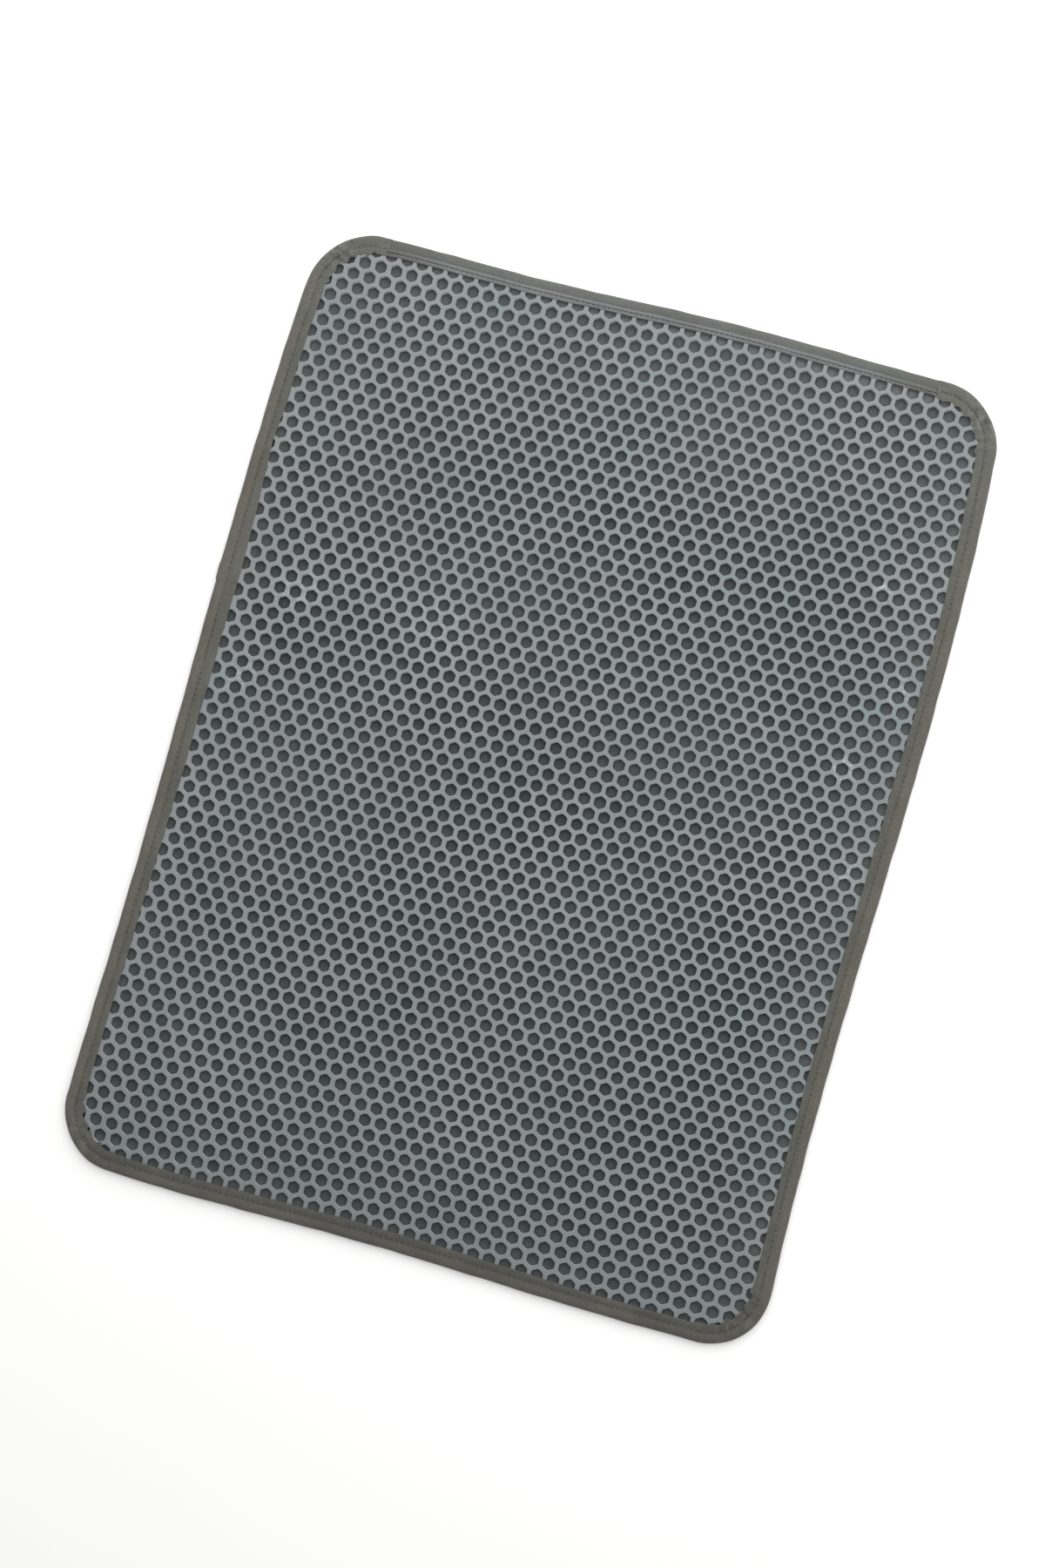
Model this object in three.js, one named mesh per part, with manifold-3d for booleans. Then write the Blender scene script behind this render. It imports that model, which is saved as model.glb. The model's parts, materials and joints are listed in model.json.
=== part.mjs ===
// A double-layer trapping mat: a perforated foam sheet lies on a plain foam sheet, and a folded fabric
// tape binds the two together round three sides and the four corners. On the fourth side, the +Y end,
// each sheet has a lip of its own and the pocket between them is open, so that it can be emptied.
// Millimetres, +Z up, +Y towards the mouth. The origin is the middle of the underside.

import * as THREE from "three";
import { mergeVertices } from "three/addons/utils/BufferGeometryUtils.js";
import Module from "manifold-3d";

// Driving dimensions
const MAT_WIDTH = 446;
const MAT_LENGTH = 603;
const CORNER_RADIUS = 38;
const BASE_THICKNESS = 2;
const HONEYCOMB_THICKNESS = 3;
const TAPE_THICKNESS = 0.7;
const EDGE_TAPE_WIDTH = 11;
const LOWER_LIP_TAPE_WIDTH = 10;
const UPPER_LIP_TAPE_WIDTH = 4.6;
const UPPER_LIP_SETBACK = 6.6; // the lower lip shows this much beyond the upper one
const MOUTH_WIDTH = 360;
const FLAP_LENGTH = 148.4; // from the line where the top sheet bends to the upper lip's front
const CLEARANCE = 0.3;

// Foam is squeezed to these thicknesses where the tape is sewn over it
const BASE_RIM_THICKNESS = 1;
const HONEYCOMB_RIM_THICKNESS = 2.6;

// Lockstitch seams: distance from the front of the tape's fold to the row of stitches
const EDGE_SEAM = 6.8;
const LOWER_LIP_SEAM = 7.4;
const UPPER_LIP_SEAM = 2.2;
const THREAD_WIDTH = 0.5;
const THREAD_HEIGHT = 0.3;
const GROOVE_WIDTH = 0.9;
const GROOVE_DEPTH = 0.45;
const THREAD_RECESS = 0.05;

const ARC_SEGMENTS = 10; // on each corner
const FAR = 1000; // longer than the mat, for cutting blocks

// Levels, from the underside up
const BASE_RIM_BOTTOM = TAPE_THICKNESS + CLEARANCE;
const HONEYCOMB_BOTTOM = BASE_THICKNESS + CLEARANCE;
const HONEYCOMB_TOP = HONEYCOMB_BOTTOM + HONEYCOMB_THICKNESS;
const HONEYCOMB_RIM_TOP = HONEYCOMB_BOTTOM + HONEYCOMB_RIM_THICKNESS;
const EDGE_TAPE_TOP = HONEYCOMB_RIM_TOP + CLEARANCE + TAPE_THICKNESS;
const LOWER_LIP_TOP = HONEYCOMB_BOTTOM + TAPE_THICKNESS;
const UPPER_LIP_BOTTOM = LOWER_LIP_TOP + CLEARANCE;
const UPPER_FOAM_BOTTOM = UPPER_LIP_BOTTOM + TAPE_THICKNESS + CLEARANCE;
const UPPER_LIP_TOP = HONEYCOMB_TOP + CLEARANCE + TAPE_THICKNESS;

// Places along Y
const LOWER_LIP_FRONT = MAT_LENGTH / 2;
const UPPER_LIP_FRONT = LOWER_LIP_FRONT - UPPER_LIP_SETBACK;
const BEND_LINE = UPPER_LIP_FRONT - FLAP_LENGTH;

const FOAM_INSET = TAPE_THICKNESS + CLEARANCE; // from the tape's fold to the foam's cut edge

// ---------------------------------------------------------------- materials

function finish(color, roughness) {
  return new THREE.MeshStandardMaterial({ color, roughness, metalness: 0 });
}

const materials = {
  honeycomb: finish(0x8b9497, 0.85),
  base: finish(0x474e51, 0.9),
  tape: finish(0x6a6861, 0.95),
  thread: finish(0x4b4942, 0.8),
};

// ---------------------------------------------------------------- outlines and solids

// The mat's rounded rectangle, moved in by inset all the way round.
function outline(inset, Kind = THREE.Shape) {
  const x = MAT_WIDTH / 2 - CORNER_RADIUS;
  const y = MAT_LENGTH / 2 - CORNER_RADIUS;
  const radius = CORNER_RADIUS - inset;
  const quarter = Math.PI / 2;
  const path = new Kind();
  path.absarc(x, y, radius, 0, quarter);
  path.absarc(-x, y, radius, quarter, 2 * quarter);
  path.absarc(-x, -y, radius, 2 * quarter, 3 * quarter);
  path.absarc(x, -y, radius, 3 * quarter, 4 * quarter);
  return path;
}

function raised(shape, bottom, top) {
  const options = { depth: top - bottom, bevelEnabled: false, curveSegments: ARC_SEGMENTS };
  return new THREE.ExtrudeGeometry(shape, options).translate(0, 0, bottom);
}

function plate(inset, bottom, top) {
  return raised(outline(inset), bottom, top);
}

function ring(outerInset, innerInset, bottom, top) {
  const shape = outline(outerInset);
  shape.holes.push(outline(innerInset, THREE.Path));
  return raised(shape, bottom, top);
}

// A block from its lowest to its highest corner.
function block([x0, y0, z0], [x1, y1, z1]) {
  const box = new THREE.BoxGeometry(x1 - x0, y1 - y0, z1 - z0);
  return box.translate((x0 + x1) / 2, (y0 + y1) / 2, (z0 + z1) / 2);
}

// A bar along the mouth with a constant section, given as [y, z] points anticlockwise seen from +X.
function bar(section) {
  const shape = new THREE.Shape(section.map(([y, z]) => new THREE.Vector2(y, z)));
  const options = { depth: MOUTH_WIDTH, bevelEnabled: false };
  const geometry = new THREE.ExtrudeGeometry(shape, options).translate(0, 0, -MOUTH_WIDTH / 2);
  return geometry.applyMatrix4(new THREE.Matrix4().set(0, 0, 1, 0, 1, 0, 0, 0, 0, 1, 0, 0, 0, 0, 0, 1));
}

// ---------------------------------------------------------------- joining and cutting

const wasm = await Module();
wasm.setup();

function solid(geometry) {
  const bare = geometry.clone();
  bare.deleteAttribute("normal");
  bare.deleteAttribute("uv");
  const merged = mergeVertices(bare, 1e-4);
  const triVerts = new Uint32Array(merged.index.array);
  const vertProperties = new Float32Array(merged.attributes.position.array);
  return new wasm.Manifold(new wasm.Mesh({ numProp: 3, vertProperties, triVerts }));
}

function joined(...geometries) {
  return geometries.map(solid).reduce((whole, piece) => whole.add(piece));
}

function cut(body, ...geometries) {
  return geometries.map(solid).reduce((left, tool) => left.subtract(tool), body);
}

function geometryOf(body) {
  const mesh = body.getMesh();
  const positions = new THREE.BufferAttribute(new Float32Array(mesh.vertProperties), 3);
  const geometry = new THREE.BufferGeometry().setAttribute("position", positions);
  geometry.setIndex(new THREE.BufferAttribute(new Uint32Array(mesh.triVerts), 1));
  geometry.computeVertexNormals();
  return geometry;
}

const mat = new THREE.Group();

function add(name, material, body) {
  const mesh = new THREE.Mesh(geometryOf(body), material);
  mesh.name = name;
  mat.add(mesh);
}

// The stretch of the +Y side between the ends of the edge tape.
function mouthBlock(from, margin) {
  const half = MOUTH_WIDTH / 2 + margin;
  return block([-half, from, -1], [half, FAR, FAR]);
}

// ---------------------------------------------------------------- foam sheets

// The plain lower sheet. Its rim is thinner and stands clear of the floor, above the tape.
function baseSheet() {
  const rim = plate(FOAM_INSET, BASE_RIM_BOTTOM, BASE_THICKNESS);
  const middle = plate(EDGE_TAPE_WIDTH + CLEARANCE, 0, BASE_THICKNESS);
  add("base_sheet", materials.base, joined(rim, middle));
}

// The perforated upper sheet, sewn down round three sides. The mouth's flap is bent up from it.
function honeycombSheet() {
  const rim = plate(FOAM_INSET, HONEYCOMB_BOTTOM, HONEYCOMB_RIM_TOP);
  const middle = plate(EDGE_TAPE_WIDTH + CLEARANCE, HONEYCOMB_BOTTOM, HONEYCOMB_TOP);
  const body = cut(joined(rim, middle), mouthBlock(BEND_LINE - CLEARANCE / 2, CLEARANCE));
  add("honeycomb_sheet", materials.honeycomb, body);
}

// The end of the upper sheet that lifts at the mouth. Its front is squeezed thin inside the upper lip's
// tape, and is stepped up underneath, behind that tape and the lower lip's, to lie over the lower lip.
function honeycombFlap() {
  const back = BEND_LINE + CLEARANCE / 2;
  const lowerLipBack = LOWER_LIP_FRONT - LOWER_LIP_TAPE_WIDTH;
  const upperLipBack = UPPER_LIP_FRONT - UPPER_LIP_TAPE_WIDTH;
  const step = Math.min(lowerLipBack, upperLipBack) - CLEARANCE;
  const front = UPPER_LIP_FRONT - FOAM_INSET;
  const section = [
    [back, HONEYCOMB_BOTTOM],
    [step, HONEYCOMB_BOTTOM],
    [step, UPPER_FOAM_BOTTOM],
    [front, UPPER_FOAM_BOTTOM],
    [front, HONEYCOMB_TOP],
    [back, HONEYCOMB_TOP],
  ];
  add("honeycomb_mouth_flap", materials.honeycomb, solid(bar(section)));
}

// ---------------------------------------------------------------- binding tapes

// The tape that is folded over both sheets, from one end of the mouth round to the other.
function edgeBinding() {
  const halfGroove = GROOVE_WIDTH / 2;
  const groove = (bottom, top) => ring(EDGE_SEAM - halfGroove, EDGE_SEAM + halfGroove, bottom, top);
  const fold = solid(ring(0, EDGE_TAPE_WIDTH, 0, EDGE_TAPE_TOP));
  const inside = ring(TAPE_THICKNESS, EDGE_TAPE_WIDTH + 1, TAPE_THICKNESS, EDGE_TAPE_TOP - TAPE_THICKNESS);
  const grooves = [groove(-1, GROOVE_DEPTH), groove(EDGE_TAPE_TOP - GROOVE_DEPTH, EDGE_TAPE_TOP + 1)];
  const mouth = mouthBlock(0, CLEARANCE);
  add("edge_binding", materials.tape, cut(fold, inside, ...grooves, mouth));
}

// A tape folded over one sheet's edge at the mouth, with a stitch groove in each leg.
function lipBinding(name, front, width, bottom, top, seam) {
  const outside = bar([
    [front - width, bottom],
    [front, bottom],
    [front, top],
    [front - width, top],
  ]);
  const inside = block(
    [-FAR, front - width - 1, bottom + TAPE_THICKNESS],
    [FAR, front - TAPE_THICKNESS, top - TAPE_THICKNESS],
  );
  const low = front - seam - GROOVE_WIDTH / 2;
  const high = front - seam + GROOVE_WIDTH / 2;
  const grooves = [
    block([-FAR, low, bottom - 1], [FAR, high, bottom + GROOVE_DEPTH]),
    block([-FAR, low, top - GROOVE_DEPTH], [FAR, high, top + 1]),
  ];
  add(name, materials.tape, cut(solid(outside), inside, ...grooves));
}

// ---------------------------------------------------------------- threads

// One strand of the edge seam, lying in the groove of the tape's upper or lower leg.
function edgeThread(name, bottom) {
  const strand = ring(
    EDGE_SEAM - THREAD_WIDTH / 2,
    EDGE_SEAM + THREAD_WIDTH / 2,
    bottom,
    bottom + THREAD_HEIGHT,
  );
  add(name, materials.thread, cut(solid(strand), mouthBlock(0, CLEARANCE)));
}

function lipThread(name, middle, bottom) {
  const strand = bar([
    [middle - THREAD_WIDTH / 2, bottom],
    [middle + THREAD_WIDTH / 2, bottom],
    [middle + THREAD_WIDTH / 2, bottom + THREAD_HEIGHT],
    [middle - THREAD_WIDTH / 2, bottom + THREAD_HEIGHT],
  ]);
  add(name, materials.thread, solid(strand));
}

// The needle thread lies in the upper groove of a folded tape and the bobbin thread in the lower one.
const needleLevel = (top) => top - THREAD_RECESS - THREAD_HEIGHT;
const bobbinLevel = (bottom) => bottom + THREAD_RECESS;

baseSheet();
honeycombSheet();
honeycombFlap();

edgeBinding();
lipBinding(
  "lower_lip_binding",
  LOWER_LIP_FRONT,
  LOWER_LIP_TAPE_WIDTH,
  0,
  LOWER_LIP_TOP,
  LOWER_LIP_SEAM,
);
lipBinding(
  "upper_lip_binding",
  UPPER_LIP_FRONT,
  UPPER_LIP_TAPE_WIDTH,
  UPPER_LIP_BOTTOM,
  UPPER_LIP_TOP,
  UPPER_LIP_SEAM,
);

edgeThread("edge_needle_thread", needleLevel(EDGE_TAPE_TOP));
edgeThread("edge_bobbin_thread", bobbinLevel(0));
lipThread("lower_lip_needle_thread", LOWER_LIP_FRONT - LOWER_LIP_SEAM, needleLevel(LOWER_LIP_TOP));
lipThread("lower_lip_bobbin_thread", LOWER_LIP_FRONT - LOWER_LIP_SEAM, bobbinLevel(0));
lipThread("upper_lip_needle_thread", UPPER_LIP_FRONT - UPPER_LIP_SEAM, needleLevel(UPPER_LIP_TOP));
lipThread("upper_lip_bobbin_thread", UPPER_LIP_FRONT - UPPER_LIP_SEAM, bobbinLevel(UPPER_LIP_BOTTOM));

export default mat;
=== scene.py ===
import json
import math

import bmesh
import bpy
import numpy as np
from mathutils import Matrix, Vector

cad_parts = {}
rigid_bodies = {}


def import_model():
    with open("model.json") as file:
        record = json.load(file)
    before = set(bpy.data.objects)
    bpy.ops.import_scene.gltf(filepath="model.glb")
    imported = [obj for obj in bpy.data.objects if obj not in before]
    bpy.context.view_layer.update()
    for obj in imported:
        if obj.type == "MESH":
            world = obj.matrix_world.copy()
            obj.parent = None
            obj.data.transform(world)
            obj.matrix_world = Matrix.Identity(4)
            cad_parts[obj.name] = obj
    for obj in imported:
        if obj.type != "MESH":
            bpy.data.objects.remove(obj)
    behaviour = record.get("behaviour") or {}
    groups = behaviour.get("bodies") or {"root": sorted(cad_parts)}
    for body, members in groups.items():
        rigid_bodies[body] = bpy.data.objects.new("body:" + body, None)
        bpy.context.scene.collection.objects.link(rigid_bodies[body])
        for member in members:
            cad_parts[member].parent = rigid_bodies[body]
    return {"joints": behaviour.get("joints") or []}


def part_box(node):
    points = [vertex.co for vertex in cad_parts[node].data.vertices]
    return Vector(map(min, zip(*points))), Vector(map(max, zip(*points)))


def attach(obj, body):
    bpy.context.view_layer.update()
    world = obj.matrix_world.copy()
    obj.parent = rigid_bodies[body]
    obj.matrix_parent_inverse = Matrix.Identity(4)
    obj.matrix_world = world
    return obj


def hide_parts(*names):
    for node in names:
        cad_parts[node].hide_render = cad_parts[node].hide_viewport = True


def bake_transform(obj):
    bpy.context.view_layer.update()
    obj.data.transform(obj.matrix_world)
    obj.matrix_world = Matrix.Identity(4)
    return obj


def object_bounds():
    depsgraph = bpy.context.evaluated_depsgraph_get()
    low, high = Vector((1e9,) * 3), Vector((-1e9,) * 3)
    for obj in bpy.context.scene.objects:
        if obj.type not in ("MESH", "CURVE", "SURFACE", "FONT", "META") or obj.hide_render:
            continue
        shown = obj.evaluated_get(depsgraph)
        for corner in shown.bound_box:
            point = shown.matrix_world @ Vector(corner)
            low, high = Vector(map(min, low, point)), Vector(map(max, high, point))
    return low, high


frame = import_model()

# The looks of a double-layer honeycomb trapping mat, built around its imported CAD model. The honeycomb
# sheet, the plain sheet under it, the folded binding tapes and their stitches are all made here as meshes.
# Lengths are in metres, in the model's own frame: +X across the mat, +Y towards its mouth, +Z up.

MM = 0.001
SEED = 7

# ---------------------------------------------------------------- places, from the frame

cad_low, cad_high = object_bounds()
HALF_WIDTH = cad_high.x
HALF_LENGTH = cad_high.y
CORNER_RADIUS = 38 * MM

SHEET_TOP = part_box("honeycomb_sheet")[1].z
BASE_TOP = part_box("base_sheet")[1].z
MOUTH_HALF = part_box("lower_lip_binding")[1].x
LIP_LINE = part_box("upper_lip_binding")[1].y
LIP_SETBACK = HALF_LENGTH - LIP_LINE  # how far the upper lip stands back from the lower one

# As in the CAD model: the tape, and how far in from its own fold each seam runs
TAPE_THICKNESS = 0.7 * MM
EDGE_SEAM = 6.8 * MM
LOWER_LIP_SEAM = 7.4 * MM
UPPER_LIP_SEAM = 2.2 * MM

mouth_lift = frame["joints"][0]
MAT, FLAP = mouth_lift["parent"], mouth_lift["child"]
BEND_LINE = Vector(mouth_lift["pos_m"]).y

# ---------------------------------------------------------------- camera, light and floor

# The camera is a least-squares fit to the cells in the photo
CAMERA_PLACE = Vector((0.1439, -0.0742, 1.5989))
CAMERA_AIM = Vector((-0.0040, -0.0054, 0.0053))
CAMERA_ROLL = math.radians(-15.8)
CAMERA_LENS_MM = 60
SENSOR_MM = 36
SEEN_TO = 20

KEY_PLACE = Vector((0.16, 0.62, 0.95))
KEY_DIAMETER = 2.1
KEY_WATTS = 19.6
KEY_COLOUR = (1.0, 0.995, 0.985)
WORLD_STRENGTH = 0.45
FLOOR_HALF = 6


def add_camera():
    forward = (CAMERA_AIM - CAMERA_PLACE).normalized()
    level_right = forward.cross(Vector((0, 1, 0))).normalized()
    level_up = level_right.cross(forward)
    up = level_up * math.cos(CAMERA_ROLL) + level_right * math.sin(CAMERA_ROLL)
    right = forward.cross(up)
    camera = bpy.data.objects.new("camera", bpy.data.cameras.new("camera"))
    camera.data.lens = CAMERA_LENS_MM
    camera.data.sensor_width = SENSOR_MM
    camera.data.clip_end = SEEN_TO
    turn = Matrix((right, up, -forward)).transposed().to_4x4()
    camera.matrix_world = Matrix.Translation(CAMERA_PLACE) @ turn
    bpy.context.scene.collection.objects.link(camera)
    bpy.context.scene.camera = camera


def add_key_light():
    """One wide, soft disk above the mouth end, aimed at the middle of the mat."""
    light = bpy.data.objects.new("key", bpy.data.lights.new("key", "AREA"))
    light.data.shape = "DISK"
    light.data.size = KEY_DIAMETER
    light.data.energy = KEY_WATTS
    light.data.color = KEY_COLOUR
    light.location = KEY_PLACE
    light.rotation_euler = (-KEY_PLACE).to_track_quat("-Z", "Y").to_euler()
    light.visible_camera = False
    bpy.context.scene.collection.objects.link(light)


def add_world():
    world = bpy.data.worlds.new("studio")
    world.use_nodes = True
    background = world.node_tree.nodes["Background"]
    background.inputs["Color"].default_value = (1, 1, 1, 1)
    background.inputs["Strength"].default_value = WORLD_STRENGTH
    bpy.context.scene.world = world


# ---------------------------------------------------------------- smooth random wander


def wander(along, wavelength, seed):
    """A smooth random wave between about -1 and 1 along a line."""
    phases = np.random.default_rng(SEED + seed).uniform(0, 2 * np.pi, 4)
    turns = 2 * np.pi * np.asarray(along, float) / wavelength
    stretches = (1, 0.618, 1.73, 2.41)
    weights = (0.4, 0.3, 0.2, 0.1)
    return sum(w * np.sin(k * turns + p) for w, k, p in zip(weights, stretches, phases))


def rolling(x, y, wavelength, seed):
    """A smooth random height between about -1 and 1 over a plane, from waves that run every way."""
    waves = 7
    rng = np.random.default_rng(SEED + seed)
    angles = rng.uniform(0, np.pi, waves)
    phases = rng.uniform(0, 2 * np.pi, waves)
    stretches = rng.uniform(0.6, 1.6, waves)
    total = 0
    for angle, phase, turns in zip(angles, phases, 2 * np.pi * stretches / wavelength):
        total = total + np.sin(turns * (x * np.cos(angle) + y * np.sin(angle)) + phase)
    return total / (waves / 2)


def ease(value, low, high):
    """0 below low, 1 above high, and smooth between them."""
    t = np.clip((np.asarray(value, float) - low) / (high - low), 0, 1)
    return t * t * (3 - 2 * t)


# ---------------------------------------------------------------- the outline as cut and as it lies

# The outline in the photo is neither square nor straight: a mat is cut and sewn by hand, and the photo's
# lens may bend it too. For each edge, how far it stands out, the height of its wave, where along the edge
# it bulges most, half its wavelength, and how it leans. These are a least-squares fit to the photo, rounded.
EDGE_WANDER = {
    "right": (0.6 * MM, 3.5 * MM, 135 * MM, 315 * MM, -0.0118),
    "left": (-0.1 * MM, 2.1 * MM, 160 * MM, 315 * MM, -0.0093),
    "mouth": (1.0 * MM, 1.1 * MM, 45 * MM, 125 * MM, 0.0079),
    "closed": (0.4 * MM, 1.05 * MM, -160 * MM, 145 * MM, -0.0079),
}
# Where the inside of the mat starts to follow its edges, and where it follows them whole, as shares of the
# half width and the half length
SIDE_FOLLOWS = (0.5, 0.93)
END_FOLLOWS = (0.5, 0.94)
# How far each corner is drawn in towards the middle, by the signs of its x and y, and where that is felt
CORNER_DRAW = {(-1, 1): 2.5 * MM, (1, 1): 2.5 * MM, (-1, -1): 2.0 * MM, (1, -1): -0.5 * MM}
CORNER_INSET = 14 * MM
CORNER_REACH = 42 * MM


def edge_wave(name, along):
    _, height, peak, half, _ = EDGE_WANDER[name]
    return height * np.cos(np.pi * (along - peak) / half)


def edge_wander(name, along):
    out, _, _, _, lean = EDGE_WANDER[name]
    return out + edge_wave(name, along) + lean * along


def settle(x, y):
    """Where a point of the true rounded rectangle lies on the hand-made mat."""
    near_side = ease(np.abs(x) / HALF_WIDTH, *SIDE_FOLLOWS)
    near_end = ease(np.abs(y) / HALF_LENGTH, *END_FOLLOWS)
    move_x = near_side * np.where(x > 0, edge_wander("right", y), -edge_wander("left", y))
    move_y = near_end * np.where(y > 0, edge_wander("mouth", x), -edge_wander("closed", x))
    for (side, end), draw in CORNER_DRAW.items():
        away = np.hypot(x - side * (HALF_WIDTH - CORNER_INSET), y - end * (HALF_LENGTH - CORNER_INSET))
        pull = draw * math.sqrt(0.5) * np.exp(-((away / CORNER_REACH) ** 2))
        move_x = move_x - side * pull
        move_y = move_y - end * pull
    return x + move_x, y + move_y


def unsettle(x, y):
    """The point of the true rounded rectangle that settle() takes to x, y."""
    u, v = x, y
    for _ in range(6):
        moved_x, moved_y = settle(u, v)
        u, v = u + x - moved_x, v + y - moved_y
    return u, v


def outline_inset(x, y):
    """How far a point lies inside the true rounded rectangle."""
    over_x = np.abs(x) - (HALF_WIDTH - CORNER_RADIUS)
    over_y = np.abs(y) - (HALF_LENGTH - CORNER_RADIUS)
    outside = np.hypot(np.maximum(over_x, 0), np.maximum(over_y, 0))
    return CORNER_RADIUS - outside - np.minimum(np.maximum(over_x, over_y), 0)


# ---------------------------------------------------------------- meshes


def make_object(name, points, faces, material, smooth_angle=50, uv=None):
    mesh = bpy.data.meshes.new(name)
    mesh.from_pydata(np.asarray(points).tolist(), [], faces)
    mesh.materials.append(material)
    if uv is not None:
        corners = np.zeros(len(mesh.loops), np.int32)
        mesh.loops.foreach_get("vertex_index", corners)
        layer = mesh.uv_layers.new(name="along_and_across")
        layer.data.foreach_set("uv", np.asarray(uv, np.float32)[corners].ravel())
    mesh.polygons.foreach_set("use_smooth", np.ones(len(mesh.polygons), bool))
    mesh.set_sharp_from_angle(angle=math.radians(smooth_angle))
    mesh.validate()
    obj = bpy.data.objects.new(name, mesh)
    bpy.context.scene.collection.objects.link(obj)
    return obj


def tube_faces(stations, around):
    """Quads of a tube of rings, open at both ends."""
    k = np.arange(around)
    ring = np.stack([k, (k + 1) % around, (k + 1) % around + around, k + around], 1)
    starts = around * np.arange(stations - 1)
    return (ring[None] + starts[:, None, None]).reshape(-1, 4)


# ---------------------------------------------------------------- the honeycomb sheet

# The spacing, the stretch and its centre are a least-squares fit to the cells in the photo, rounded
PITCH = 10.05 * MM
ROW_SPACING = 8.31 * MM
FIRST_CELL = Vector((-5.4 * MM, -3.6 * MM))
HOLE_WIDTH = 7.3 * MM
HOLE_HEIGHT = 8.3 * MM  # to the sharp corners of the hexagon, before they are rounded
HOLE_ROUNDING = 0.15  # the share of each side taken by a rounded corner
HOLE_BEVEL = 0.22 * MM
WALL_CROWN = 0.06 * MM  # how much higher the foam stands where three walls meet
SIZE_SPREAD = 0.014  # how much the holes differ in size, as a share
PLACE_SPREAD = 0.07 * MM
STRETCH_CENTRE = Vector((37 * MM, 7 * MM))
STRETCH = 0.126  # how much longer the foam grows per square metre away from that centre
# Where the photo's cells lie off that, perhaps pulled by sewing: the place, how far in x and y, and the
# reach. Set from shifts measured between photo and render.
FOAM_PULLS = (
    (-175 * MM, 275 * MM, 1.7 * MM, -2.2 * MM, 45 * MM),
    (0, 275 * MM, 0.2 * MM, 0.9 * MM, 60 * MM),
    (-205 * MM, 130 * MM, -1.5 * MM, 2.2 * MM, 45 * MM),
    (200 * MM, 110 * MM, 1.0 * MM, 1.5 * MM, 60 * MM),
    (-205 * MM, -255 * MM, -1.8 * MM, -0.2 * MM, 60 * MM),
    (200 * MM, -285 * MM, 0.9 * MM, 0.4 * MM, 45 * MM),
    (150 * MM, -240 * MM, 0, 0.6 * MM, 50 * MM),
    (205 * MM, 280 * MM, -0.9 * MM, -0.3 * MM, 45 * MM),
    (-30 * MM, 0, 0, -0.5 * MM, 70 * MM),
)
FOAM_FRONT = 1.0 * MM  # from the tape's fold to the foam's cut edge
HIDDEN_RIM = 3.4 * MM  # the width at the cut edge that a tape always hides
ROWS_EACH_WAY, COLUMNS_EACH_WAY = 40, 26  # more cells than the sheet holds, before its outline is cut
FARTHEST_CELL = 1.2 * MM  # how far past the tape's fold the middle of a cell may lie and still be kept

# Levels of the foam under the edge tape, by distance from the tape's fold
EDGE_STEPS = np.array([1.0, 2.2, 4.0, 5.4, 6.8, 8.4, 10.4, 13.5]) * MM
EDGE_TOPS = np.array([3.9, 4.5, 4.7, 4.5, 4.0, 4.75, 5.05, 5.3]) * MM
EDGE_BOTTOMS = np.array([2.2, 2.2, 2.2, 2.2, 2.2, 2.2, 2.25, 2.3]) * MM

# Levels at the mouth, where the foam climbs over the lower lip into the upper lip's tape
LIP_STEPS = np.array([1.0, 2.2, 3.6, 4.4, 6.5, 11, 18, 30]) * MM
LIP_TOPS = np.array([5.25, 5.0, 5.4, 5.5, 5.8, 5.75, 5.45, 5.3]) * MM
LIP_BOTTOMS = np.array([4.3, 4.3, 4.2, 3.9, 3.3, 2.6, 2.35, 2.3]) * MM


def lip_share(x):
    """1 where the upper lip has its own tape, 0 where the edge tape covers both sheets."""
    return 1 - ease(np.abs(x), MOUTH_HALF + 3 * MM, MOUTH_HALF + 15 * MM)


def foam_inset(u, v):
    """How far a point of the upper sheet lies inside the front of the tape that covers its edge."""
    front = HALF_LENGTH - LIP_SETBACK * lip_share(u)
    return np.minimum(outline_inset(u, v), front - v)


def tuck_in(x, y):
    """Draws what would reach past the foam's cut edge in under the tape, without folding it over."""
    u, v = unsettle(x, y)
    inset = foam_inset(u, v)
    step = 0.01 * MM
    slope_u = (foam_inset(u + step, v) - foam_inset(u - step, v)) / (2 * step)
    slope_v = (foam_inset(u, v + step) - foam_inset(u, v - step)) / (2 * step)
    room = HIDDEN_RIM - FOAM_FRONT
    excess = np.maximum(HIDDEN_RIM - inset, 0)
    kept = FOAM_FRONT + room / (1 + excess / room)
    move = np.where(inset < HIDDEN_RIM, kept - inset, 0)
    return u + slope_u * move, v + slope_v * move


def sheet_levels(u, v):
    """Underside and top of the honeycomb sheet at points of the true rounded rectangle."""
    edge = outline_inset(u, v)
    lip = HALF_LENGTH - LIP_SETBACK - v
    mouth = lip_share(u) * ease(v, HALF_LENGTH - 40 * MM, HALF_LENGTH - 27 * MM)
    loose = ease(np.minimum(edge, lip), 13 * MM, 45 * MM)
    swell = 0.45 * MM * (1 + rolling(u, v, 230 * MM, 1)) + 0.12 * MM * rolling(u, v, 50 * MM, 2)

    def level(edge_levels, lip_levels):
        by_edge = np.interp(edge, EDGE_STEPS, edge_levels)
        by_lip = np.interp(lip, LIP_STEPS, lip_levels)
        return (1 - mouth) * by_edge + mouth * by_lip + loose * swell

    return level(EDGE_BOTTOMS, LIP_BOTTOMS), level(EDGE_TOPS, LIP_TOPS)


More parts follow.
